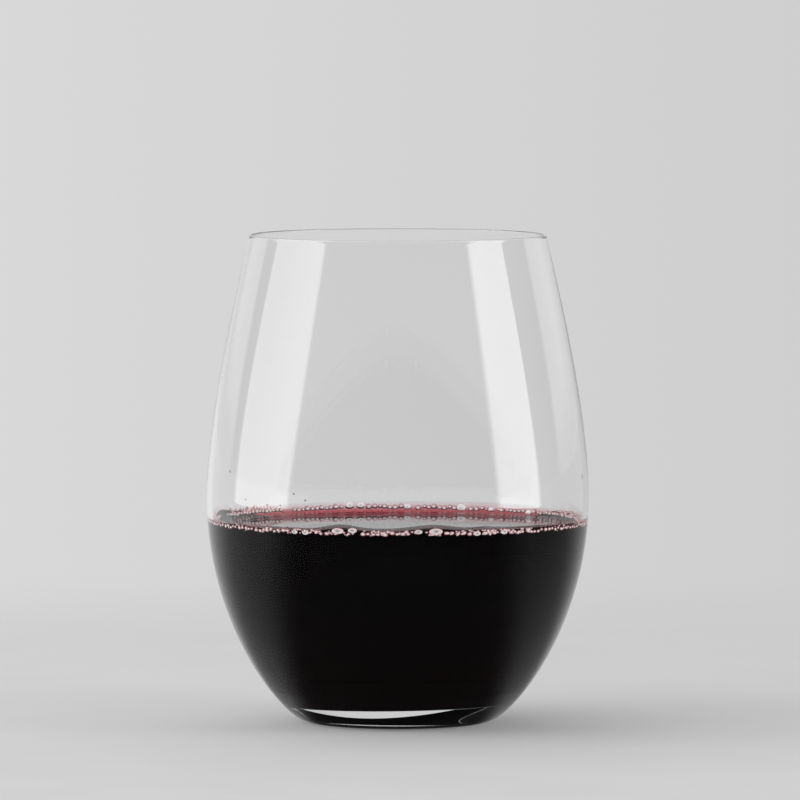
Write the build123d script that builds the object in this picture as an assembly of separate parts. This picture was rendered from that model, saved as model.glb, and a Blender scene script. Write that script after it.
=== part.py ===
from build123d import *
import math
import os

# Stemless wine glass, half full of red wine. Millimetres, +Z up, +X to the right as seen
# from the front (-Y), origin at the middle of the foot where it stands on the table.

# Outside of the glass
glass_height = 124.0
belly_radius = 48.6
belly_height = 57.0
shoulder_reach = 21.7  # the wall stays upright this far above the belly
rim_radius = 37.8
rim_lean = 0.232  # inward lean of the wall at the rim
rim_reach = 14.0  # the wall keeps that lean this far below the rim
side_reach = 30.7  # the wall stays upright this far below the belly
foot_radius = 23.4
foot_spread = 8.0  # the heel runs out this far beside the foot
foot_rise = 3.0  # and rises this much on the way
heel_radius = 2.0

# Thickness of the glass
wall_thickness = 1.3
rim_thickness = 1.1
base_thickness = 4.8
floor_radius = 28.5
floor_dish = 1.6  # the floor inside rises this much from its middle to its edge
floor_corner_radius = 2.0
inner_heel_spread = 7.0  # the inside wall leaves the floor this far outwards
inner_heel_rise = 6.8  # and this far up on the way
inner_side_reach = 25.1  # the inside wall stays upright this far below the belly

# Wine
wine_level = 49.9
wine_clearance = 0.1  # between the wine and the glass that it turns in
meniscus_radius = 2.6
contact_angle = 20.0  # between the wine's edge and the wall

# Bubbles along the edge of the wine
bubble_clearance = 0.15  # to the wall and to the wine
bubble_spacing = 0.12
small_bubble_radius = 0.58
small_bubble_variation = 0.16
golden_fraction = 0.618034
# Larger bubbles, each list in degrees round the wall from the front, towards +X
big_bubble_radius = 1.5
big_bubbles = (-18.6, 11.7)
middle_bubble_radius = 1.2
middle_bubbles = (-13.6, 158.8, 195.8)
modest_bubble_radius = 0.98
modest_bubbles = (-33.0, -29.0, 6.4, 25.2, 34.6, 132.3, 148.2, 176.8, 192.1)

# Splashed drops on the wall above the wine: degrees as above, and share of the splash height
splash_height = 14.0
drops = ((-62.0, 0.97), (-53.0, 0.5), (-38.0, 0.44), (-33.0, 0.66), (-29.0, 0.55), (76.0, 0.83))
drop_radius = 0.35
drop_clearance = 0.05


def outside_curves():
    # the lower wall from the foot up to the belly, then the upper wall up to the rim
    lower = Bezier(
        (foot_radius, 0, 0),
        (foot_radius + foot_spread, 0, foot_rise),
        (belly_radius, 0, belly_height - side_reach),
        (belly_radius, 0, belly_height),
    )
    upper = Bezier(
        (belly_radius, 0, belly_height),
        (belly_radius, 0, belly_height + shoulder_reach),
        (rim_radius + rim_lean * rim_reach, 0, rim_start - rim_reach),
        (rim_radius, 0, rim_start),
    )
    return lower, upper


def inside_curves(inset):
    # the inner face of the glass, drawn in by an inset, from the floor to the rim
    belly = belly_radius - wall_thickness - inset
    rim = rim_radius - rim_thickness - inset
    floor = base_thickness + inset
    edge = (floor_radius - inset / 2, 0, floor + floor_dish)
    bottom = TangentArc((0, 0, floor), edge, tangent=(1, 0, 0))
    lower = Bezier(
        edge,
        (edge[0] + inner_heel_spread, 0, edge[2] + inner_heel_rise),
        (belly, 0, belly_height - inner_side_reach),
        (belly, 0, belly_height),
    )
    upper = Bezier(
        (belly, 0, belly_height),
        (belly, 0, belly_height + shoulder_reach),
        (rim + rim_lean * rim_reach, 0, rim_start - rim_reach),
        (rim, 0, rim_start),
    )
    return bottom, lower, upper


def radius_at(curves, height):
    # distance of the wall from the axis at a height, by halving the curve that spans it
    _, lower, upper = curves
    curve = lower if height < belly_height else upper
    low, high = 0.0, 1.0
    for _ in range(halvings):
        middle = (low + high) / 2
        if (curve @ middle).Z < height:
            low = middle
        else:
            high = middle
    return (curve @ low).X


def round_floor(solid):
    # the rounded corner between the floor inside and the wall
    edges = solid.edges().filter_by(GeomType.CIRCLE)
    corner = edges.sort_by_distance((floor_radius, 0, base_thickness + floor_dish))[0]
    return fillet(corner, floor_corner_radius)


def build_glass():
    outer_lower, outer_upper = outside_curves()
    floor, inner_lower, inner_upper = inside
    rim_middle = rim_radius - rim_thickness / 2
    rim = ThreePointArc(outer_upper @ 1, (rim_middle, 0, glass_height), inner_upper @ 1)
    axis = Line((0, 0, 0), (0, 0, base_thickness))
    foot = Line((0, 0, 0), (foot_radius, 0, 0))
    profile = [foot, outer_lower, outer_upper, rim, inner_upper, inner_lower, floor, axis]
    glass = revolve(make_face(profile), axis=Axis.Z)
    glass = fillet(glass.edges().group_by(Axis.Z)[0], heel_radius)
    return round_floor(glass)


def build_wine():
    # the inside of the glass, less the headspace with its edge curling up the wall
    floor, lower, upper = inside_curves(wine_clearance)
    top = Line(upper @ 1, (0, 0, rim_start))
    axis = Line((0, 0, rim_start), floor @ 0)
    filled = round_floor(revolve(make_face([floor, lower, upper, top, axis]), axis=Axis.Z))

    outside = belly_radius + wall_thickness
    curl_end = (meniscus_start + meniscus_radius, 0, wine_level + meniscus_radius)
    turn = math.radians(45)
    curl_middle = (
        meniscus_start + meniscus_radius * math.sin(turn),
        0,
        wine_level + meniscus_radius * (1 - math.cos(turn)),
    )
    surface = Line((0, 0, wine_level), (meniscus_start, 0, wine_level))
    curl = ThreePointArc(surface @ 1, curl_middle, curl_end)
    headspace = Polyline(
        curl_end,
        (outside, 0, curl_end[2]),
        (outside, 0, glass_height),
        (0, 0, glass_height),
        (0, 0, wine_level),
    )
    return filled - revolve(make_face([surface, curl, *headspace.edges()]), axis=Axis.Z)


def bead(degrees, radial, height, radius):
    # a ball at an angle round the axis, counted from the front towards +X
    angle = math.radians(degrees - 90)
    return Pos(radial * math.cos(angle), radial * math.sin(angle), height) * Sphere(radius)


def bubble(degrees, radius):
    # a bubble between the wall and the curled edge of the wine, just clear of both
    reach = radius + bubble_clearance
    radial = contact_radius - reach
    lift = math.sqrt((meniscus_radius - reach) ** 2 - (radial - meniscus_start) ** 2)
    return bead(degrees, radial, wine_level + meniscus_radius - lift, radius)


def drop(degrees, share):
    # a drop that clings to the wall above the edge of the wine
    height = wine_level + climb + share * splash_height
    return bead(degrees, radius_at(inside, height) - drop_radius - drop_clearance, height, drop_radius)


def half_width(radius):
    # half of the angle that a bubble and its share of the spacing take up
    return math.degrees((radius + bubble_spacing / 2) / (contact_radius - radius))


def small_bubbles():
    # strings of small bubbles that fill the wall between each large bubble and the next
    found = []
    first_angle, first_radius = large_bubbles[0]
    following = large_bubbles[1:] + [(first_angle + full_turn, first_radius)]
    for (start, start_radius), (end, end_radius) in zip(large_bubbles, following):
        angle = start + half_width(start_radius)
        limit = end - half_width(end_radius)
        while True:
            share = (len(found) * golden_fraction) % 1
            radius = small_bubble_radius + small_bubble_variation * (2 * share - 1)
            step = half_width(radius)
            if angle + 2 * step > limit:
                break
            found.append(bubble(angle + step, radius))
            angle += 2 * step
    return found


halvings = 40
full_turn = 360
rim_start = glass_height - rim_thickness / 2
inside = inside_curves(0)
climb = meniscus_radius * (1 - math.sin(math.radians(contact_angle)))
contact_radius = radius_at(inside, wine_level + climb)
large_bubbles = sorted(
    [(angle, big_bubble_radius) for angle in big_bubbles]
    + [(angle, middle_bubble_radius) for angle in middle_bubbles]
    + [(angle, modest_bubble_radius) for angle in modest_bubbles]
)
meniscus_start = contact_radius - meniscus_radius * math.cos(math.radians(contact_angle))

nodes = {
    "glass": build_glass(),
    "wine": build_wine(),
    "bubble_collar": Compound(children=small_bubbles()),
    "large_bubbles": Compound(children=[bubble(degrees, radius) for degrees, radius in large_bubbles]),
    "wall_drops": Compound(children=[drop(degrees, share) for degrees, share in drops]),
}

os.makedirs("parts", exist_ok=True)
for name, shape in nodes.items():
    export_step(shape, f"parts/{name}.step")
    print(name, len(shape.solids()), "solids", round(shape.volume, 1), "mm3")
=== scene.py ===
import bpy
import math
import numpy as np
from mathutils import Euler, Matrix, Vector


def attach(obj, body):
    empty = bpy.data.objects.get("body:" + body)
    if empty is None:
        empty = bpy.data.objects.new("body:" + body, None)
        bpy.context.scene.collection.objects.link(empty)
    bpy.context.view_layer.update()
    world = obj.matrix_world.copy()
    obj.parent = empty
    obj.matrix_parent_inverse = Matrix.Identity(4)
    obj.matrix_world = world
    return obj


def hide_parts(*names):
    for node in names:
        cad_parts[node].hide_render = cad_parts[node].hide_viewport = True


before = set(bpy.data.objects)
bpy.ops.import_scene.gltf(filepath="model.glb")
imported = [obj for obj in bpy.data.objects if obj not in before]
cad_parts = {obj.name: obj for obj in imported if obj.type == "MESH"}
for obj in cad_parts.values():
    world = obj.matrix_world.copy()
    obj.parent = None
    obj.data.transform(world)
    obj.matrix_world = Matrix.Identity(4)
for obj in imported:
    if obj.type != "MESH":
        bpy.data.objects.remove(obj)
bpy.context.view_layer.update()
scene = bpy.context.scene
mm = 0.001
print("frame loaded:", len(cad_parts), "nodes")


# helpers for curves and meshes

def cubic(points, count):
    # cubic Bezier curve with four control points, sampled at even steps of its parameter
    p = np.array(points, float)
    t = np.linspace(0, 1, count)[:, None]
    return (1 - t) ** 3 * p[0] + 3 * (1 - t) ** 2 * t * p[1] + 3 * (1 - t) * t ** 2 * p[2] + t ** 3 * p[3]


def joinRounded(first, second, reach, count):
    # joins two outlines that meet at a corner: each stops short by the reach, and a parabola spans the rest
    corner = first[-1]
    a = first[np.linalg.norm(first - corner, axis=1) > reach]
    b = second[np.linalg.norm(second - corner, axis=1) > reach]
    start = corner + (a[-1] - corner) * reach / np.linalg.norm(a[-1] - corner)
    end = corner + (b[0] - corner) * reach / np.linalg.norm(b[0] - corner)
    t = np.linspace(0, 1, count)[:, None]
    return np.vstack([a, (1 - t) ** 2 * start + 2 * (1 - t) * t * corner + t ** 2 * end, b])


def smoothStep(x):
    x = np.clip(x, 0, 1)
    return x * x * (3 - 2 * x)


def between(pair, share):
    return pair[0] + (pair[1] - pair[0]) * share


def turnFrom(degrees, place=0):
    # degrees from a place round the wall, between -180 and 180
    return (degrees - place + 180) % 360 - 180


def nearness(degrees, far=-0.55, near=0.0):
    # 0 round the back of the wall and 1 round the front, a soft step between two cosines of the angle
    return smoothStep((np.cos(np.radians(degrees)) - far) / (near - far))


def addMesh(name, points, quads, tris=np.empty((0, 3), int)):
    # quads, and triangles where there are any, as one smooth mesh object at the origin
    loops = np.concatenate([quads.ravel(), tris.ravel()])
    sizes = np.repeat([4, 3], [len(quads), len(tris)])
    mesh = bpy.data.meshes.new(name)
    mesh.vertices.add(len(points))
    mesh.vertices.foreach_set("co", (np.asarray(points) * mm).astype(np.float32).ravel())
    mesh.loops.add(len(loops))
    mesh.loops.foreach_set("vertex_index", loops.astype(np.int32))
    mesh.polygons.add(len(sizes))
    mesh.polygons.foreach_set("loop_start", np.concatenate([[0], np.cumsum(sizes)[:-1]]).astype(np.int32))
    mesh.update(calc_edges=True)
    mesh.shade_smooth()
    piece = bpy.data.objects.new(name, mesh)
    scene.collection.objects.link(piece)
    return piece


def setAttribute(piece, name, domain, values):
    values = values.ravel().astype(np.float32)
    piece.data.attributes.new(name, "FLOAT", domain).data.foreach_set("value", values)


def polarFaces(rows, columns):
    # a grid closed round its columns, with a fan of triangles to each pole, which are its last two points
    i, j = np.arange(rows - 1)[:, None] * columns, np.arange(columns)
    nextJ = (j + 1) % columns
    quads = np.stack([i + j, i + nextJ, i + columns + nextJ, i + columns + j], -1).reshape(-1, 4)
    last, poles = (rows - 1) * columns, rows * columns
    fans = np.vstack([
        np.stack([np.full(columns, poles), nextJ, j], -1),
        np.stack([np.full(columns, poles + 1), last + j, last + nextJ], -1)])
    return quads, fans


def spun(name, profile, columns, warp=None):
    # surface of revolution: radius and height of each outline point carried round the axis, closed at poles
    angle = np.arange(columns) * 2 * np.pi / columns
    around = profile if profile.ndim == 3 else profile[:, None]
    r, z = around[1:-1, :, 0], around[1:-1, :, 1]
    grid = np.stack([r * np.cos(angle), r * np.sin(angle), z + 0 * angle], -1)
    rows = len(grid)
    points = np.vstack([grid.reshape(-1, 3), [[0, 0, around[0, 0, 1]], [0, 0, around[-1, 0, 1]]]])
    if warp is not None:
        points = warp(points, np.concatenate([np.repeat(np.arange(1, rows + 1), columns), [0, rows + 1]]))
    return addMesh(name, points, *polarFaces(rows, columns))


# helpers for materials

def material(name):
    made = bpy.data.materials.new(name)
    made.use_nodes = True
    return made, made.node_tree, made.node_tree.nodes["Principled BSDF"]


def setSockets(shader, **values):
    for socket, value in values.items():
        shader.inputs[socket.replace("_", " ")].default_value = value


def addNode(tree, kind, inputs=None, **settings):
    # a new node with its settings, its inputs linked to sockets or set to plain values, as its outputs
    made = tree.nodes.new("ShaderNode" + kind)
    for setting, value in settings.items():
        setattr(made, setting, value)
    for socket, value in (inputs or {}).items():
        if isinstance(value, bpy.types.NodeSocket):
            tree.links.new(value, made.inputs[socket])
        else:
            made.inputs[socket].default_value = value
    return made.outputs


def mathNode(tree, operation, *inputs, clamp=False):
    return addNode(tree, "Math", dict(enumerate(inputs)), operation=operation, use_clamp=clamp)["Value"]


def ramp(tree, value, low, high, lowTo=0.0, highTo=1.0, kind="SMOOTHSTEP"):
    # step of a value from one level to another, soft unless it is said to be linear
    limits = {"Value": value, "From Min": low, "From Max": high, "To Min": lowTo, "To Max": highTo}
    return addNode(tree, "MapRange", limits, interpolation_type=kind)["Result"]


def vectorLength(tree, vector):
    return addNode(tree, "VectorMath", {0: vector}, operation="LENGTH")["Value"]


def dotProduct(tree, vector, direction):
    return addNode(tree, "VectorMath", {0: vector, 1: direction}, operation="DOT_PRODUCT")["Value"]


def mixColours(tree, share, first, second):
    return addNode(tree, "Mix", {"Factor": share, "A": first, "B": second}, data_type="RGBA")["Result"]


def objectPlace(tree):
    # Object coordinates, whole and by axis
    place = addNode(tree, "TexCoord")["Object"]
    return place, addNode(tree, "SeparateXYZ", {"Vector": place})


def attributeValue(tree, name):
    return addNode(tree, "Attribute", attribute_name=name)["Fac"]


# camera, table and light

view = {
    "place": (0.0006, -2.357, 0.226), "aim": (0.0006, 0.0, 0.0819),
    "lens": 418, "sensor": 36, "reach": 100,
}
cameraData = bpy.data.cameras.new("photoCamera")
cameraData.sensor_width = view["sensor"]
cameraData.lens = view["lens"]
cameraData.clip_end = view["reach"]
camera = bpy.data.objects.new("photoCamera", cameraData)
scene.collection.objects.link(camera)
camera.location = view["place"]
camera.rotation_euler = (Vector(view["aim"]) - Vector(view["place"])).to_track_quat("-Z", "Y").to_euler()
scene.camera = camera

table = {
    "half": 40.0, "drop": 0.0001,  # half of its side, and how far it lies below the foot, in metres
    "paper": 0.86, "mottle": 0.02, "grain": 18,  # tone of the paper, how much it varies and how finely
    "far": 0.655, "lean": -0.75, "fanFrom": 2.4, "fanLimit": 0.06,  # backdrop's tone, and its fall to +X, painted light that makes it lighter on the left
    "distances": (0.16, 0.5),  # the paper turns into the backdrop between these
    "nearFrom": (-0.06, 0.0), "nearShare": (0.05, 0.3),  # backdrop's share before and behind the glass
    # painted reflection: the tone that mirrored rays see on the table, at the left and the right, the painted
    # light the back adds, and the painted shade left at the front
    "sidesFrom": (-0.3, 0.3), "sides": (0.5, 0.22), "backFrom": (0.35, 0.9), "back": 0.32,
    "unlitFrom": (-0.6, -0.1), "unlit": 0.1,
}
tableMesh = bpy.data.meshes.new("table")
tableMesh.from_pydata(
    [(x * table["half"], y * table["half"], -table["drop"])
     for x, y in ((-1, -1), (1, -1), (1, 1), (-1, 1))], [], [(0, 1, 2, 3)])
tableTop = bpy.data.objects.new("table", tableMesh)
scene.collection.objects.link(tableTop)

studio = {
    "backdrop": 0.66, "upper": 1.1, "ceiling": 0.35, "dark": 0.06,  # brightness of the parts of the room
    "inside": 0.2,  # share of the dark room that rays mirrored once inside the glass see
    # the backdrop ends between two cosines of the angle from its middle, which is a little right of the axis
    "middle": 3, "edge": (0.44, 0.52),
    "upperFrom": (0.03, 0.09), "upperSides": (0.75, 0.92), "ceilingFrom": (0.25, 0.55),
    "fillFrom": (-0.8, 0.45, 0.4), "fillEdge": (-0.6, 0.9), "fill": (0.06, 0.86),
}


def rayKinds(tree):
    # rays that reach the eye straight or only bent by glass, rays that some surface has mirrored, how much of
    # the dark room in front these see, which is less for rays mirrored once inside the glass, and rays that
    # stayed outside it
    rays = addNode(tree, "LightPath")
    looking = mathNode(tree, "ADD", rays["Is Camera Ray"], rays["Is Transmission Ray"], clamp=True)
    unmirrored = mathNode(tree, "LESS_THAN", rays["Glossy Depth"], 0.5)
    straight = mathNode(tree, "MULTIPLY", looking, unmirrored)
    sharp = mathNode(tree, "ADD", looking, rays["Is Glossy Ray"], clamp=True)
    mirrored = mathNode(tree, "SUBTRACT", sharp, straight)
    once = mathNode(tree, "LESS_THAN", rays["Glossy Depth"], 1.5)
    inside = mathNode(tree, "GREATER_THAN", rays["Transmission Depth"], 0.5)
    onceInside = mathNode(tree, "MULTIPLY", once, inside)
    dark = mathNode(tree, "MULTIPLY_ADD", onceInside, studio["inside"] - 1, 1.0)
    return straight, mirrored, dark, mathNode(tree, "SUBTRACT", 1.0, inside)


def tableMaterial():
    # pale paper that is shaded near the glass, so that it keeps the shadow, and a glowing backdrop further
    # off, with painted light and shade in it
    made, tree, shader = material("palePaper")
    setSockets(shader, Roughness=0.9, Specular_IOR_Level=0.0)
    place, axes = objectPlace(tree)
    mottle = addNode(tree, "TexNoise", {"Vector": place, "Scale": table["grain"], "Detail": 4})["Fac"]
    tone = ramp(tree, mottle, 0.2, 0.8, table["paper"] - table["mottle"], table["paper"] + table["mottle"])
    grey = addNode(tree, "CombineColor", {"Red": tone, "Green": tone, "Blue": tone})["Color"]
    tree.links.new(grey, shader.inputs["Base Color"])
    # backdrop glow with painted light, a little lighter on the left as if lit more from that side: a fan of
    # straight lines from a point in front of the table
    fan = mathNode(tree, "DIVIDE", axes["X"], mathNode(tree, "ADD", axes["Y"], table["fanFrom"]))
    fan = mathNode(tree, "MAXIMUM", mathNode(tree, "MINIMUM", fan, table["fanLimit"]), -table["fanLimit"])
    shade = mathNode(tree, "MULTIPLY_ADD", fan, table["lean"], table["far"], clamp=True)
    distance = vectorLength(tree, place)
    near = ramp(tree, axes["Y"], *table["nearFrom"], *table["nearShare"])
    away = ramp(tree, distance, *table["distances"])
    away = mathNode(tree, "MULTIPLY_ADD", away, mathNode(tree, "SUBTRACT", 1.0, near), near)
    # painted reflection: mirrored rays see the table glow, with painted shade on the right and towards the
    # unlit front and painted light at the back
    straight, mirrored, dark, _ = rayKinds(tree)
    back = mathNode(tree, "DIVIDE", axes["Y"], distance)
    sides = ramp(tree, axes["X"], *table["sidesFrom"], *table["sides"])
    paintedMirrorTone = mathNode(tree, "ADD", sides, ramp(tree, back, *table["backFrom"], 0.0, table["back"]))
    paintedMirrorTone = mathNode(tree, "MULTIPLY", paintedMirrorTone, ramp(tree, back, *table["unlitFrom"], table["unlit"], 1.0))
    unlit = mathNode(tree, "MULTIPLY", mirrored, dark)
    level = mathNode(tree, "MULTIPLY_ADD", unlit, mathNode(tree, "SUBTRACT", paintedMirrorTone, shade), shade)
    glow = addNode(tree, "Emission", {"Strength": level})["Emission"]
    even = mathNode(tree, "MULTIPLY", away, mathNode(tree, "ADD", straight, mirrored, clamp=True))
    share = mathNode(tree, "MAXIMUM", even, unlit)
    mixed = addNode(tree, "MixShader", {"Fac": share, 1: shader.outputs["BSDF"], 2: glow})["Shader"]
    tree.links.new(mixed, tree.nodes["Material Output"].inputs["Surface"])
    return made


def lightStudio(tree):
    # straight rays see the pale backdrop all round, mirrored ones a pale backdrop behind and a dark room in
    # front, and matt surfaces a soft fill that is stronger from the upper left
    sky = tree.nodes["Background"]
    sky.inputs["Color"].default_value = (1, 1, 1, 1)
    direction = addNode(tree, "TexCoord")["Generated"]
    up = addNode(tree, "SeparateXYZ", {"Vector": direction})["Z"]
    turn = math.radians(studio["middle"])
    facing = dotProduct(tree, direction, (math.sin(turn), math.cos(turn), 0))
    straight, mirrored, dark, outside = rayKinds(tree)
    fill = ramp(tree, dotProduct(tree, direction, studio["fillFrom"]), *studio["fillEdge"], *studio["fill"])
    front = ramp(tree, facing, *studio["edge"], 1.0, 0.0)
    upper = mathNode(tree, "MULTIPLY", ramp(tree, up, *studio["upperFrom"]),
                     ramp(tree, facing, *studio["upperSides"], 1.0, 0.0))
    upper = mathNode(tree, "MULTIPLY", upper, outside)
    pale = mathNode(tree, "MULTIPLY_ADD", upper, studio["upper"] - studio["backdrop"], studio["backdrop"])
    pale = mathNode(tree, "MULTIPLY", pale, ramp(tree, up, *studio["ceilingFrom"], 1.0, studio["ceiling"]))
    room = mathNode(tree, "MULTIPLY_ADD", mathNode(tree, "MULTIPLY", front, dark),
                    mathNode(tree, "SUBTRACT", studio["dark"], pale), pale)
    matt = mathNode(tree, "SUBTRACT", 1.0, mathNode(tree, "ADD", straight, mirrored))
    filled = mathNode(tree, "MULTIPLY", matt, fill)
    plain = mathNode(tree, "MULTIPLY_ADD", straight, studio["backdrop"], filled)
    tree.links.new(mathNode(tree, "MULTIPLY_ADD", mirrored, room, plain), sky.inputs["Strength"])


tableMesh.materials.append(tableMaterial())
world = bpy.data.worlds.new("studio")
scene.world = world
world.use_nodes = True
lightStudio(world.node_tree)

softboxes = {
    # ends are the light at the back and at the front of each box, soft is the fading part of its length at
    # the front, and farWall is how much of it shows in the far wall of the glass
    "softboxLeft": {
        "x": -0.8, "y": (-0.441, 0.203), "z": (-0.15, 0.8), "lean": 22,
        "power": 3.4, "ends": (0.72, 1.32), "soft": 0.08, "farWall": 0.1},
    "softboxRight": {
        "x": 0.8, "y": (-0.538, -0.031), "z": (-0.15, 0.8), "lean": 14,
        "power": 3.0, "ends": (1.2, 1.45), "soft": 0.2, "farWall": 0.1},
}


def gradeLamp(lamp, box):
    # light that grows along the box, fades out at its front end and is faint in the far wall of the glass
    lamp.use_nodes = True
    tree = lamp.node_tree
    along = addNode(tree, "SeparateXYZ", {"Vector": addNode(tree, "NewGeometry")["Parametric"]})["X"]
    front = along if box["x"] < 0 else mathNode(tree, "SUBTRACT", 1.0, along)
    grade = ramp(tree, front, 0.0, 1.0, *box["ends"])
    fade = ramp(tree, front, 1 - box["soft"], 1.0, 1.0, 0.0)
    rays = addNode(tree, "LightPath")
    through = mathNode(tree, "GREATER_THAN", rays["Transmission Depth"], 2.5)
    farWall = mathNode(tree, "MULTIPLY", through, mathNode(tree, "GREATER_THAN", rays["Glossy Depth"], 0.5))
    shown = mathNode(tree, "MULTIPLY_ADD", farWall, box["farWall"] - 1, 1.0)
    strength = mathNode(tree, "MULTIPLY", mathNode(tree, "MULTIPLY", grade, fade), shown)
    tree.links.new(strength, tree.nodes["Emission"].inputs["Strength"])


for name, box in softboxes.items():
    lamp = bpy.data.lights.new(name, "AREA")
    lamp.shape = "RECTANGLE"
    lamp.size = box["y"][1] - box["y"][0]
    lamp.size_y = box["z"][1] - box["z"][0]
    lamp.energy = box["power"]
    gradeLamp(lamp, box)
    softbox = bpy.data.objects.new(name, lamp)
    scene.collection.objects.link(softbox)
    softbox.location = (box["x"], sum(box["y"]) / 2, sum(box["z"]) / 2)
    upright = Euler((math.pi / 2, 0, math.copysign(math.pi / 2, box["x"]))).to_matrix()
    softbox.rotation_euler = (Matrix.Rotation(math.radians(box["lean"]), 3, "X") @ upright).to_euler()
    softbox.visible_camera = False

scene.view_settings.view_transform = "Standard"
scene.cycles.max_bounces = 24
scene.cycles.transmission_bounces = 24
scene.cycles.glossy_bounces = 12
print("camera, table and light ready")


# glass, in millimetres as all pieces below

glass = {
    "height": 124.0, "bellyRadius": 48.6, "bellyHeight": 57.0, "shoulderReach": 21.7,
    "rimRadius": 37.8, "rimLean": 0.232, "rimReach": 14.0, "rimThickness": 0.6,
    "sideReach": 30.7, "footRadius": 23.4, "footSpread": 8.0, "footRise": 3.0, "heelReach": 2.0,
    "wall": 1.3, "base": 4.6, "floorRadius": 28.5, "floorDish": 1.3, "cornerReach": 0.7,
    "heelSpread": 7.0, "heelRise": 6.8, "innerSideReach": 25.1,
    "floorSlant": 1.5, "slantFade": 16.0,  # lean of the floor in degrees, and the height where it has faded
    "clearBase": 8.0,  # below this the outside is plain clear glass
    # bending power of the glass, then where wine lies against its inside and behind its outside
    "bending": 1.5, "wettedBending": 1.119, "overWineBending": 1.38,
    "lipPaintedHighlightFrom": (-0.015, 0.015), "lipPaintedHighlight": (0.09, 0.015),  # painted highlight: glow at the front and the back of the lip, though it is no lamp
    "columns": 192, "footRows": 16, "heelRows": 7, "wallRows": 90, "shoulderRows": 56, "rimRows": 9,
    "floorRows": 40, "cornerRows": 9, "innerRows": 110,
}
swirlFilm = {
    # the film of wine on the far wall: middle and half sizes in metres, its tint, and how ragged its edge is
    "middle": (0.0, 0.046, 0.05), "half": (0.0235, 0.03, 0.042), "tint": (0.996, 0.991, 0.992, 1),
    "ripple": 90, "ragged": 0.25, "edge": (1.02, 1.16),
}
wine = {
    # pairs are values at the back and at the front of the wall, lists follow the degrees from the front
    "level": 49.9, "gap": 0.12, "columns": 240,
    "degrees": (0, 35, 60, 85, 106, 140),
    "tail": (1.75, 1.75, 1.7, 1.7, 1.95, 1.95), "tailLength": (1.6, 2.4),  # the edge's broad foot
    "film": (0.95, 0.95, 0.5, 0.4, 0.5, 0.8), "filmThickness": (0.4, 0.9),  # what runs up the glass above it
    "waves": [(0.08, 3, 0.6), (0.07, 7, 2.0), (0.05, 17, 0.0)],  # size, count round the wall, phase
    # the wine rises over the largest bubbles and at the left: degrees, rise, breadth
    "lift": [(-17.5, 1.0, 5.0), (11.2, 0.95, 6.0), (26.5, 0.25, 3.0), (-103, 1.0, 8.0)],
    # groove for the see-through edge: depth, width at the back, width at the degrees above elsewhere
    "wedgeDepth": 4.5, "wedge": 5.8, "nearWedge": (0.3, 0.3, 0.18, 0.12, 0.12, 0.12),
    "wedgeTurn": (-0.8, -0.5), "overlap": 0.1,
    "under": 0.15, "behind": 0.5, "tuck": (0.4, 0.15),  # how far that edge goes into the dark body
    "sink": 0.08, "sinkFade": 0.8,  # the dark body lies this much below the see-through edge
    "reach": 16.0, "levelFrom": 18.0,  # rows of the surface crowd within the first distance from the wall
    "edgeColumns": 480, "wallRows": 8, "crease": 50,
    "bending": 1.34, "dullSides": 0.24, "dullAt": 97, "dullBreadth": 22,  # bending power, less at the sides
    # heights in metres and the colours there, low and high, of the open surface and against the glass
    "openTone": ((0.006, 0.04), (0.02, 0.003, 0.005, 1), (0.008, 0.003, 0.004, 1)),
    "submergedTone": ((0.004, 0.035), (0.005, 0.0008, 0.001, 1), (0.002, 0.001, 0.0014, 1)),
    "soak": (0.82, 0.08, 0.18, 1), "density": 1400,  # colour that a thin layer takes on, and how fast
    "wetted": 2.6, "overWine": 1.9,  # the glass counts as wet up to here above the level, inside and outside
    "floorLift": 1.3, "stillHeight": 13.5, "still": (0.04, 0.11),  # room over the slanted floor, layer in it
}
rimStart = glass["height"] - glass["rimThickness"] / 2
wallPerDegree = 0.81  # length of the wall in one degree at the wine's edge


def innerWall(inset):
    # lower inside curve from the floor's edge to the belly
    belly = glass["bellyRadius"] - glass["wall"] - inset
    edge = (glass["floorRadius"] - inset / 2, glass["base"] + glass["floorDish"] + inset)
    return cubic([
        edge, (edge[0] + glass["heelSpread"], edge[1] + glass["heelRise"]),
        (belly, glass["bellyHeight"] - glass["innerSideReach"]),
        (belly, glass["bellyHeight"])], glass["innerRows"])


def innerFloor(inset):
    # dished floor: height grows with the square of the radius
    edge = glass["floorRadius"] - inset / 2
    r = np.linspace(0, edge, glass["floorRows"])
    return np.stack([r, glass["base"] + inset + glass["floorDish"] * (r / edge) ** 2], -1)


def innerOutline(inset):
    # floor and lower wall inside the glass, drawn in by an inset, with a rounded corner
    return joinRounded(innerFloor(inset), innerWall(inset), glass["cornerReach"], glass["cornerRows"])


def shoulder(belly, rim):
    # upper wall from the belly to the rim
    lean = glass["rimLean"] * glass["rimReach"]
    return cubic([
        (belly, glass["bellyHeight"]), (belly, glass["bellyHeight"] + glass["shoulderReach"]),
        (rim + lean, rimStart - glass["rimReach"]), (rim, rimStart)], glass["shoulderRows"])


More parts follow.
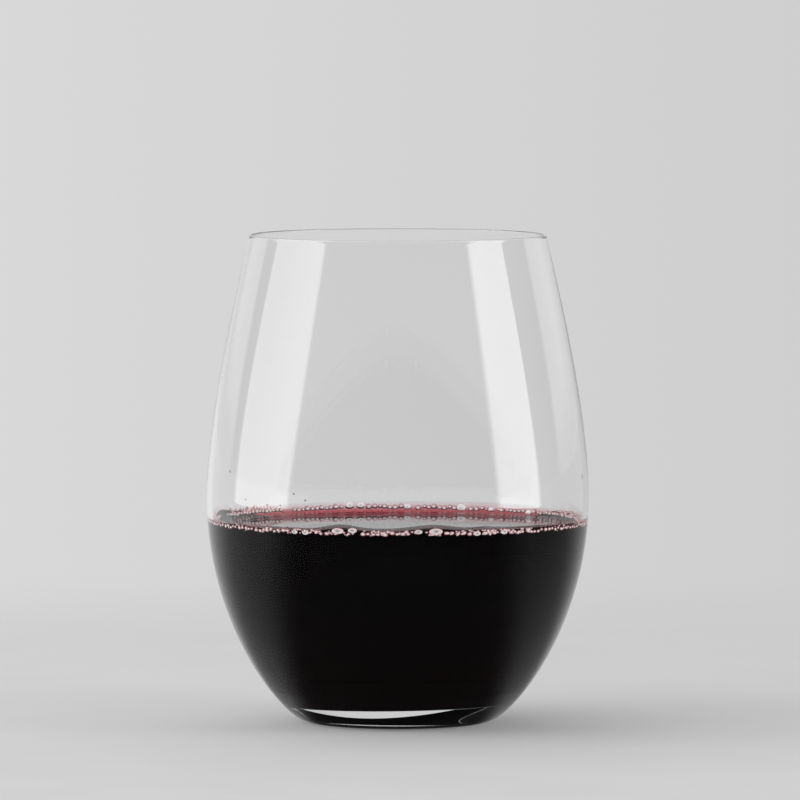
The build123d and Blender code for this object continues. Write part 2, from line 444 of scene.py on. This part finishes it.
def glassOutline():
    # once round the section: foot, outer wall, half circle of the rim, inner wall, floor
    foot = np.linspace((0, 0), (glass["footRadius"], 0), glass["footRows"])
    lower = cubic([
        (glass["footRadius"], 0), (glass["footRadius"] + glass["footSpread"], glass["footRise"]),
        (glass["bellyRadius"], glass["bellyHeight"] - glass["sideReach"]),
        (glass["bellyRadius"], glass["bellyHeight"])], glass["wallRows"])
    outer = shoulder(glass["bellyRadius"], glass["rimRadius"])
    inner = shoulder(glass["bellyRadius"] - glass["wall"], glass["rimRadius"] - glass["rimThickness"])
    turn = np.linspace(0, np.pi, glass["rimRows"] + 2)[1:-1, None]
    half = glass["rimThickness"] / 2
    rim = np.hstack([glass["rimRadius"] - half + half * np.cos(turn), rimStart + half * np.sin(turn)])
    outside = joinRounded(foot, lower, glass["heelReach"], glass["heelRows"])
    outline = np.vstack([outside, outer[1:], rim, inner[::-1], innerOutline(0)[::-1][1:]])
    lipFrom = len(outside) + len(outer) - 1
    return outline, lipFrom, lipFrom + len(rim)


def clearGlass():
    # clear crystal with a faint domed film of wine on the far wall, left by the last swirl
    made, tree, shader = material("clearGlass")
    setSockets(shader, Roughness=0.0, IOR=glass["bending"], Transmission_Weight=1.0)
    place, _ = objectPlace(tree)
    ripple = addNode(tree, "TexNoise", {"Vector": place, "Scale": swirlFilm["ripple"]})["Fac"]
    dome = {"Vector": place, "Location": swirlFilm["middle"], "Scale": swirlFilm["half"]}
    dome = addNode(tree, "Mapping", dome, vector_type="TEXTURE")["Vector"]
    ragged = mathNode(tree, "MULTIPLY_ADD", ripple, swirlFilm["ragged"], vectorLength(tree, dome))
    share = ramp(tree, ragged, *swirlFilm["edge"], 1.0, 0.0)
    tree.links.new(mixColours(tree, share, (1, 1, 1, 1), swirlFilm["tint"]), shader.inputs["Base Color"])
    return made


def coveredGlass(name, bending):
    # the same glass where wine lies against it, which bends light less
    made, _, shader = material(name)
    setSockets(shader, Base_Color=(1, 1, 1, 1), Roughness=0.0, IOR=bending, Transmission_Weight=1.0)
    return made


def lipGlass():
    # the melted lip: clear, a little milky and rough, with a painted highlight: it glows, more at the front
    # than at the back
    made, tree, shader = material("lipGlass")
    setSockets(shader, Base_Color=(0.97, 0.97, 0.97, 1), Roughness=0.05, IOR=glass["bending"],
               Transmission_Weight=0.7, Emission_Color=(1, 1, 1, 1))
    _, axes = objectPlace(tree)
    glow = ramp(tree, axes["Y"], *glass["lipPaintedHighlightFrom"], *glass["lipPaintedHighlight"])
    tree.links.new(glow, shader.inputs["Emission Strength"])
    return made


def slantBase(points, row, floorFrom=0):
    # the floor in the blown base leans to one side, which fades out up the wall
    slant = math.tan(math.radians(glass["floorSlant"])) * (row >= floorFrom)
    points[:, 2] += slant * points[:, 0] * smoothStep(1 - points[:, 2] / glass["slantFade"])
    return points


def glassFinish(outline, lipFrom, insideFrom):
    # material of each face by its row: 1 inside and 2 outside where wine is at the wall, 3 at the lip, else 0
    row, height = np.arange(len(outline)), outline[:, 1]
    outside = row < insideFrom
    low = height < wine["level"] + np.where(outside, wine["overWine"], wine["wetted"])
    lip = (row >= lipFrom - 1) & outside
    finish = np.where(outside, 2 * (height > glass["clearBase"]), 1) * low + 3 * lip
    last = len(outline) - 2
    faceRow = np.repeat(np.concatenate([np.arange(1, last), [0, last]]), glass["columns"])
    return finish[faceRow].astype(np.int32)


outline, lipFrom, insideFrom = glassOutline()
bowl = spun("glassBowl", outline, glass["columns"], lambda points, row: slantBase(points, row, insideFrom))
# the wetted inside bends only the step from wine to glass, the outside over it has a softer shine
for made in (
        clearGlass(), coveredGlass("wettedGlass", glass["wettedBending"]),
        coveredGlass("glassOverWine", glass["overWineBending"]), lipGlass()):
    bowl.data.materials.append(made)
bowl.data.polygons.foreach_set("material_index", glassFinish(outline, lipFrom, insideFrom))
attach(bowl, "glass")
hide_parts("glass")
print("glass made:", len(bowl.data.polygons), "faces")


# wine

wallAtEdge = innerWall(0)


def wallRadius(height):
    # inner radius of the glass at a height near the wine's edge
    return np.interp(height, wallAtEdge[:, 1], wallAtEdge[:, 0])


def byTurn(name, degrees):
    # value from one of the wine's lists at a place round the wall, the same at the left and at the right
    return np.interp(np.abs(turnFrom(degrees)), wine["degrees"], wine[name])


def edgeHeight(away, degrees):
    # height of the wine's edge over its level, by distance from the wall and place round it: a tail that dies
    # away exponentially, higher over the largest bubbles and in slow waves, and a film that runs up the glass
    # as a parabola
    near, a = nearness(degrees), np.radians(degrees)
    waves = sum(size * np.sin(count * a + phase) for size, count, phase in wine["waves"])
    lift = sum(rise * np.exp(-(turnFrom(degrees, place) * wallPerDegree / breadth) ** 2)
               for place, rise, breadth in wine["lift"])
    height = byTurn("tail", degrees) + waves + lift
    tail = height * np.exp(-away / between(wine["tailLength"], near))
    film = byTurn("film", degrees) * np.clip(1 - away / between(wine["filmThickness"], near), 0, 1) ** 2
    return tail + film


def wineEdge():
    # the see-through edge: its height over distance carried round the wall, closed by wall, bottom and back
    columns = wine["edgeColumns"]
    degrees = np.arange(columns) * 360 / columns
    away = np.concatenate([
        np.linspace(0, 0.9, 19), np.linspace(0.97, 1.9, 14), np.linspace(2.1, wine["wedge"], 10)])[:, None]
    top = wine["level"] + edgeHeight(away, degrees)
    edge = np.stack([wallRadius(top) - wine["gap"] - away, top], -1)
    low = np.full(columns, wine["level"] - wine["wedgeDepth"] - wine["under"])
    back = np.stack([wallRadius(low) - wine["wedge"] - wine["behind"], low], -1)
    z = np.linspace(0, 1, wine["wallRows"] + 1)[:-1, None] * (edge[0, :, 1] - low) + low
    against = np.stack([wallRadius(z) - wine["gap"], z], -1)
    section = np.concatenate([against, edge, np.stack([edge[-1] - wine["tuck"], back])])
    a = np.radians(degrees - 90)
    points = np.stack([section[..., 0] * np.cos(a), section[..., 0] * np.sin(a), section[..., 1]], -1)
    rows = len(section)
    i, j = np.arange(rows)[:, None], np.arange(columns)
    nextI, nextJ = (i + 1) % rows, (j + 1) % columns
    i, nextI = i * columns, nextI * columns
    quads = np.stack([i + j, i + nextJ, nextI + nextJ, nextI + j], -1)
    piece = addMesh("wineEdge", points.reshape(-1, 3), quads.reshape(-1, 4))
    piece.data.set_sharp_from_angle(angle=math.radians(wine["crease"]))
    # bending power of each face: 1 where it lies against the glass, the bottom or the back
    dull = np.exp(-((np.abs(turnFrom(degrees)) - wine["dullAt"]) / wine["dullBreadth"]) ** 2)
    row = np.arange(rows)[:, None]
    free = (row >= len(against)) & (row < len(against) + len(edge))
    setAttribute(piece, "bending", "FACE", np.where(free, wine["bending"] - wine["dullSides"] * dull, 1.0))
    return piece


def wineOutline():
    # floor and wall a hair inside the glass, a groove for the see-through edge, wide at the back and narrow
    # at the front, then the surface: just under that edge beside the groove, level further in
    degrees = np.arange(wine["columns"]) * 360 / wine["columns"] + 90
    even = np.zeros(wine["columns"])
    lower = innerOutline(wine["gap"])
    lower[:, 1] += wine["floorLift"] * smoothStep(1 - lower[:, 1] / glass["slantFade"])
    groove = wine["level"] - wine["wedgeDepth"]
    lower = lower[lower[:, 1] < groove]
    start = between((wine["wedge"], byTurn("nearWedge", degrees)), nearness(degrees, *wine["wedgeTurn"]))
    middle = wallRadius(wine["level"]) - wine["gap"]
    away = np.concatenate([
        start + (wine["reach"] - start) * np.linspace(0, 1, 34)[:, None] ** 2,
        np.linspace(wine["levelFrom"], middle, 16)[:, None] + even])
    top = wine["level"] + edgeHeight(away, degrees)
    top -= wine["sink"] * (1 - smoothStep((away - wine["wedge"] + wine["sinkFade"]) / wine["sinkFade"]))
    radius = np.maximum(wallRadius(np.maximum(top, wine["level"])) - wine["gap"] - away, 0)
    bottom = wallRadius(groove) - wine["gap"]
    side = np.stack([np.stack([bottom + even, bottom - start]), groove + np.stack([even, even])], -1)
    section = np.concatenate([lower[:, None] + even[:, None], side, np.stack([radius, top], -1)])
    return section, np.concatenate([np.zeros((len(lower) + 2, len(even))), away])


def stillLayer():
    # wine that stays with the glass under the turning body: two copies of the inner outline, joined on top
    under, over = (side[side[:, 1] < wine["stillHeight"]] for side in map(innerOutline, wine["still"]))
    return spun("stillWine", np.vstack([under, over[::-1]]), glass["columns"], slantBase)


def darkWine(name, tone, **finish):
    # nearly black in bulk, with a trace of red that grows towards the base
    made, tree, shader = material(name)
    setSockets(shader, **finish)
    heights, lowColour, highColour = tone
    _, axes = objectPlace(tree)
    share = ramp(tree, axes["Z"], *heights, kind="LINEAR")
    tree.links.new(mixColours(tree, share, lowColour, highColour), shader.inputs["Base Color"])
    return made


def thinWine():
    # wine in a thin layer lets light through and turns it pink to red
    made, tree, shader = material("thinWine")
    setSockets(shader, Base_Color=(1, 1, 1, 1), Roughness=0.0, IOR=wine["bending"], Transmission_Weight=1.0)
    tree.links.new(attributeValue(tree, "bending"), shader.inputs["IOR"])
    soak = addNode(tree, "VolumeAbsorption", {"Color": wine["soak"], "Density": wine["density"]})["Volume"]
    tree.links.new(soak, tree.nodes["Material Output"].inputs["Volume"])
    return made


wineSection, awayFromWall = wineOutline()
body = spun("wineBody", wineSection, wine["columns"])
# against the glass the wine has no shine of its own, because the wetted glass already gives it
submergedWine = darkWine("submergedWine", wine["submergedTone"], Roughness=1.0, Specular_IOR_Level=0.0)
body.data.materials.append(darkWine("redWine", wine["openTone"], Roughness=0.0, IOR=wine["bending"]))
body.data.materials.append(submergedWine)
covered = awayFromWall < wine["wedge"] - wine["overlap"]
covered = np.concatenate([covered[1:-2].ravel(), covered[0], covered[-2]])
body.data.polygons.foreach_set("material_index", covered.astype(np.int32))
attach(body, "wine")
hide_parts("wine")
still = stillLayer()
still.data.materials.append(submergedWine)
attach(still, "glass")
edge = wineEdge()
edge.data.materials.append(thinWine())
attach(edge, "wine")
print("wine made:", len(body.data.polygons) + len(edge.data.polygons), "faces")


# bubbles

bubbles = {
    # degrees round the wall from the front towards +X, width, height, and height above the flat wine
    "large": [
        (-33.0, 1.8, 1.0, 1.4), (-29.2, 2.0, 1.15, 1.35), (-18.5, 3.4, 1.6, 2.0), (-13.8, 2.5, 1.3, 2.2),
        (6.3, 2.2, 1.2, 1.9), (11.7, 3.8, 1.8, 1.95), (24.9, 2.1, 1.2, 1.25), (34.4, 2.1, 1.3, 1.4),
        (132.3, 2.4, 1.8, 0.8), (148.2, 1.8, 1.4, 1.1), (158.8, 2.6, 1.9, 1.4), (176.8, 1.8, 1.4, 1.4),
        (192.1, 2.0, 1.6, 1.9), (195.8, 2.2, 1.7, 1.95)],
    "perch": 1.45, "sag": 0.25,  # height of the string of small bubbles, and how much lower it is at +X
    "rise": 0.5, "riseAt": -88, "riseBreadth": 12,  # it is higher round this place at -X
    "gap": 0.03,  # to the wall
    "flatness": (0.8, 0.66), "depth": 0.8,  # height over width at the back and at the front, depth over width
    # painted: the outline is broader at the front, and the bubbles glow though they are no lamp
    "rimBroader": 0.06, "glow": 0.55,
    # sizes go from size to size + more, and crowding is the share of both widths that keeps off large ones
    "string": {"draws": 400, "size": 1.15, "more": 0.65, "skew": 1.3, "spacing": 0.98, "crowding": 0.46,
               "seam": 218, "seamHalf": 2, "last": 359, "jitter": 0.45},
    "specks": {"count": 240, "size": 0.45, "more": 0.5, "aboveShare": 0.6, "above": 0.6, "below": -0.35,
               "jitter": 0.3},
    # fine foam: first degree, breadth, count and spread of heights of each patch
    "foam": [(222, 27, 90, 2.0), (96, 22, 60, 2.0), (-45, 90, 120, 0.9)],
    "foamSize": 0.6, "foamMore": 0.5, "foamBelow": 0.35,
    # painted shade: dark seats of wine under small and large bubbles: how much lower, how many times wider
    # and as deep as the bubble, and the nearness up to which there are any
    "shadeSeats": {"lower": (0.3, 0.34), "wider": (1.1, 1.06), "depth": (0.85, 0.7), "farther": 0.2},
    "smallGrid": (8, 6), "largeGrid": (24, 14),  # faces round and down each bubble
    # painted light and shade from a bubble's middle to its outline; large ones in front are painted dark in
    # the middle, as the wine behind them
    "skins": {
        "bubbleSkin": [(0.0, (0.95, 0.94, 0.94)), (0.97, (0.3, 0.07, 0.09)), (1.0, (0.04, 0.006, 0.008))],
        "largeBubbleSkin": [
            (0.0, (0.5, 0.48, 0.48)), (0.75, (0.95, 0.93, 0.93)), (0.88, (0.9, 0.86, 0.86)),
            (0.95, (0.4, 0.12, 0.14)), (1.0, (0.03, 0.004, 0.006))],
        "darkBubbleSkin": [
            (0.0, (0.14, 0.13, 0.13)), (0.84, (0.95, 0.93, 0.93)), (0.93, (0.9, 0.86, 0.86)),
            (0.98, (0.3, 0.07, 0.09)), (1.0, (0.03, 0.004, 0.006))]},
    "paintedGlint": (0.999, (1, 1, 1)),  # painted glint: a thin white line just inside each outline
}
largeAngle, largeWidth, largeHeight, largePerch = np.array(bubbles["large"]).T


def beads(name, degrees, perch, width, height, depth, around, down):
    # many ellipsoids: a unit ball on a grid of longitude and latitude, stretched along the wall, up and out
    u = np.arange(around) * 2 * np.pi / around
    v = np.linspace(0, np.pi, down + 1)[1:-1, None]
    ball = np.stack([np.sin(v) * np.cos(u), np.sin(v) * np.sin(u), np.cos(v) + 0 * u], -1).reshape(-1, 3)
    ball = np.vstack([ball, [[0, 0, 1], [0, 0, -1]]])
    a = np.radians(degrees - 90)[:, None]
    z = wine["level"] + perch
    r = (wallRadius(z) - bubbles["gap"] - depth / 2)[:, None]
    along, outward = ball[:, 0] * width[:, None] / 2, ball[:, 2] * depth[:, None] / 2
    points = np.stack([
        (r + outward) * np.cos(a) - along * np.sin(a),
        (r + outward) * np.sin(a) + along * np.cos(a),
        z[:, None] + ball[:, 1] * height[:, None] / 2], -1)
    quads, fans = polarFaces(down - 1, around)
    quads, fans = quads[:, [0, 3, 2, 1]], fans[:, [0, 2, 1]]  # this grid runs the other way round
    start = np.arange(len(degrees))[:, None, None] * len(ball)
    quads, fans = (quads + start).reshape(-1, 4), (fans + start).reshape(-1, 3)
    piece = addMesh(name, points.reshape(-1, 3), quads, fans)
    # 0 in the middle of the bead, 1 round its outline, which is broader at the front
    rim = np.hypot(ball[:, 0], ball[:, 1]) * (1 + bubbles["rimBroader"] * nearness(degrees)[:, None])
    setAttribute(piece, "rim", "POINT", rim)
    return piece


def bubbleSkin(name):
    # pale skin painted with light: it glows though it is no lamp, with a painted glint line and a painted
    # dark outline for the shade round the bubble
    made, tree, shader = material(name)
    setSockets(shader, Roughness=0.08, IOR=wine["bending"], Emission_Strength=bubbles["glow"])
    tone = tree.nodes.new("ShaderNodeValToRGB")
    stops = bubbles["skins"][name][:]
    stops.insert(-1, bubbles["paintedGlint"])
    for place, _ in stops[1:-1]:
        tone.color_ramp.elements.new(place)
    for element, (_, colour) in zip(tone.color_ramp.elements, stops):
        element.color = (*colour, 1)
    tree.links.new(attributeValue(tree, "rim"), tone.inputs["Fac"])
    tree.links.new(tone.outputs["Color"], shader.inputs["Base Color"])
    tree.links.new(tone.outputs["Color"], shader.inputs["Emission Color"])
    return made


def perchAt(degrees):
    # height of the string of bubbles: even round most of the wall, lower at +X and higher at -X
    left = np.exp(-(turnFrom(degrees, bubbles["riseAt"]) / bubbles["riseBreadth"]) ** 2)
    right = smoothStep(np.sin(np.radians(degrees)))
    return bubbles["perch"] - bubbles["sag"] * right + bubbles["rise"] * left


def smallBeads():
    # beads side by side round the wall, with sizes that wander, none where a large bubble sits, then a looser
    # string of specks above and below them, and patches of fine foam
    chance = np.random.default_rng(11)
    string, specks, foam = bubbles["string"], bubbles["specks"], np.array(bubbles["foam"])
    size = string["size"] + string["more"] * chance.random(string["draws"]) ** string["skew"]
    degrees = np.cumsum(size * string["spacing"]) / wallPerDegree
    once = degrees < string["last"]
    size, degrees = size[once], (degrees[once] + string["seam"]) % 360
    apart = np.abs(turnFrom(degrees[:, None], largeAngle)) * wallPerDegree
    clear = (apart > (largeWidth + size[:, None]) * string["crowding"]).all(1)
    free = clear & (np.abs(turnFrom(degrees, string["seam"])) > string["seamHalf"])
    degrees, size = degrees[free], size[free]
    perch = perchAt(degrees) + string["jitter"] * (chance.random(len(size)) - 0.5)
    count = specks["count"]
    speckAt = chance.random(count) * 360
    speckSize = specks["size"] + specks["more"] * chance.random(count)
    above = (chance.random(count) < specks["aboveShare"]) & (nearness(speckAt) > 0.3)  # not at the back
    speckPerch = perchAt(speckAt) + np.where(above, specks["above"], specks["below"])
    speckPerch += specks["jitter"] * (chance.random(count) - 0.5)
    counts = foam[:, 2].astype(int)
    first, breadth, _, spread = np.repeat(foam, counts, axis=0).T
    foamAt = first + breadth * chance.random(len(first))
    foamSize = bubbles["foamSize"] + bubbles["foamMore"] * chance.random(len(first))
    foamPerch = perchAt(foamAt) + spread * (chance.random(len(first)) - bubbles["foamBelow"])
    allDegrees = np.concatenate([degrees, speckAt, foamAt])
    allPerch = np.concatenate([perch, speckPerch, foamPerch])
    width = np.concatenate([size, speckSize, foamSize])
    height = width * between(bubbles["flatness"], nearness(allDegrees))
    return (allDegrees, allPerch, width, height, width * bubbles["depth"]), len(size)


def shadeSeatBeads(small, stringCount):
    # painted shade at the back: under each bubble a dark ellipsoid of wine, a little wider and lower, where
    # the shade falls
    degrees, perch, width, height, depth = (values[:stringCount] for values in small)
    seat = bubbles["shadeSeats"]
    farSmall, farLarge = nearness(degrees) < seat["farther"], nearness(largeAngle) < seat["farther"]
    pairs = (
        (degrees, largeAngle), (perch - seat["lower"][0], largePerch - seat["lower"][1]),
        (width * seat["wider"][0], largeWidth * seat["wider"][1]), (height, largeHeight),
        (depth * seat["depth"][0], largeHeight * seat["depth"][1]))
    return [np.concatenate([one[farSmall], other[farLarge]]) for one, other in pairs]


small, stringCount = smallBeads()
collar = beads("bubbleCollar", *small, *bubbles["smallGrid"])
collar.data.materials.append(bubbleSkin("bubbleSkin"))
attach(collar, "wine")
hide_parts("bubble_collar")
around, down = bubbles["largeGrid"]
largeDepth = largeHeight * bubbles["depth"]
large = beads("largeBubbles", largeAngle, largePerch, largeWidth, largeHeight, largeDepth, around, down)
large.data.materials.append(bubbleSkin("largeBubbleSkin"))
large.data.materials.append(bubbleSkin("darkBubbleSkin"))
inFront = (nearness(largeAngle) > 0.5).astype(np.int32)
skins = np.concatenate([np.repeat(inFront, around * (down - 2)), np.repeat(inFront, 2 * around)])
large.data.polygons.foreach_set("material_index", skins)
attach(large, "wine")
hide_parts("large_bubbles")
# dark seats under the back bubbles: painted shade
shadeSeats = beads("bubbleShadeSeats", *shadeSeatBeads(small, stringCount), *bubbles["smallGrid"])
shadeSeats.data.materials.append(submergedWine)
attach(shadeSeats, "wine")
print("bubbles made:", len(small[0]) + len(largeAngle))


# drops on the wall

drops = {
    # degrees, height above the level, width and height of each splashed drop
    "list": [
        (-62.0, 15.3, 0.5, 0.6), (-53.0, 8.7, 0.45, 0.4), (-38.0, 7.9, 0.45, 0.4), (-33.0, 10.9, 0.5, 0.35),
        (-29.0, 9.4, 0.45, 0.35), (76.0, 13.3, 0.4, 1.3)],
    "depth": 0.5, "grid": (20, 12),
    # painted light and shade of each drop: lighter middle, darker outline
    "middle": (0.36, 0.08, 0.1, 1), "outline": (0.22, 0.035, 0.05, 1),
}


def dropWine():
    # a drop is painted lighter in its middle and darker towards its outline, as light and shade through a
    # round drop
    made, tree, shader = material("dropWine")
    setSockets(shader, Roughness=0.05, IOR=wine["bending"])
    tone = mixColours(tree, attributeValue(tree, "rim"), drops["middle"], drops["outline"])
    tree.links.new(tone, shader.inputs["Base Color"])
    return made


dropAngle, dropPerch, dropWidth, dropHeight = np.array(drops["list"]).T
dropDepth = np.minimum(dropWidth, dropHeight) * drops["depth"]
wallDrops = beads("wallDrops", dropAngle, dropPerch, dropWidth, dropHeight, dropDepth, *drops["grid"])
wallDrops.data.materials.append(dropWine())
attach(wallDrops, "glass")
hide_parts("wall_drops")
print("drops made:", len(drops["list"]))
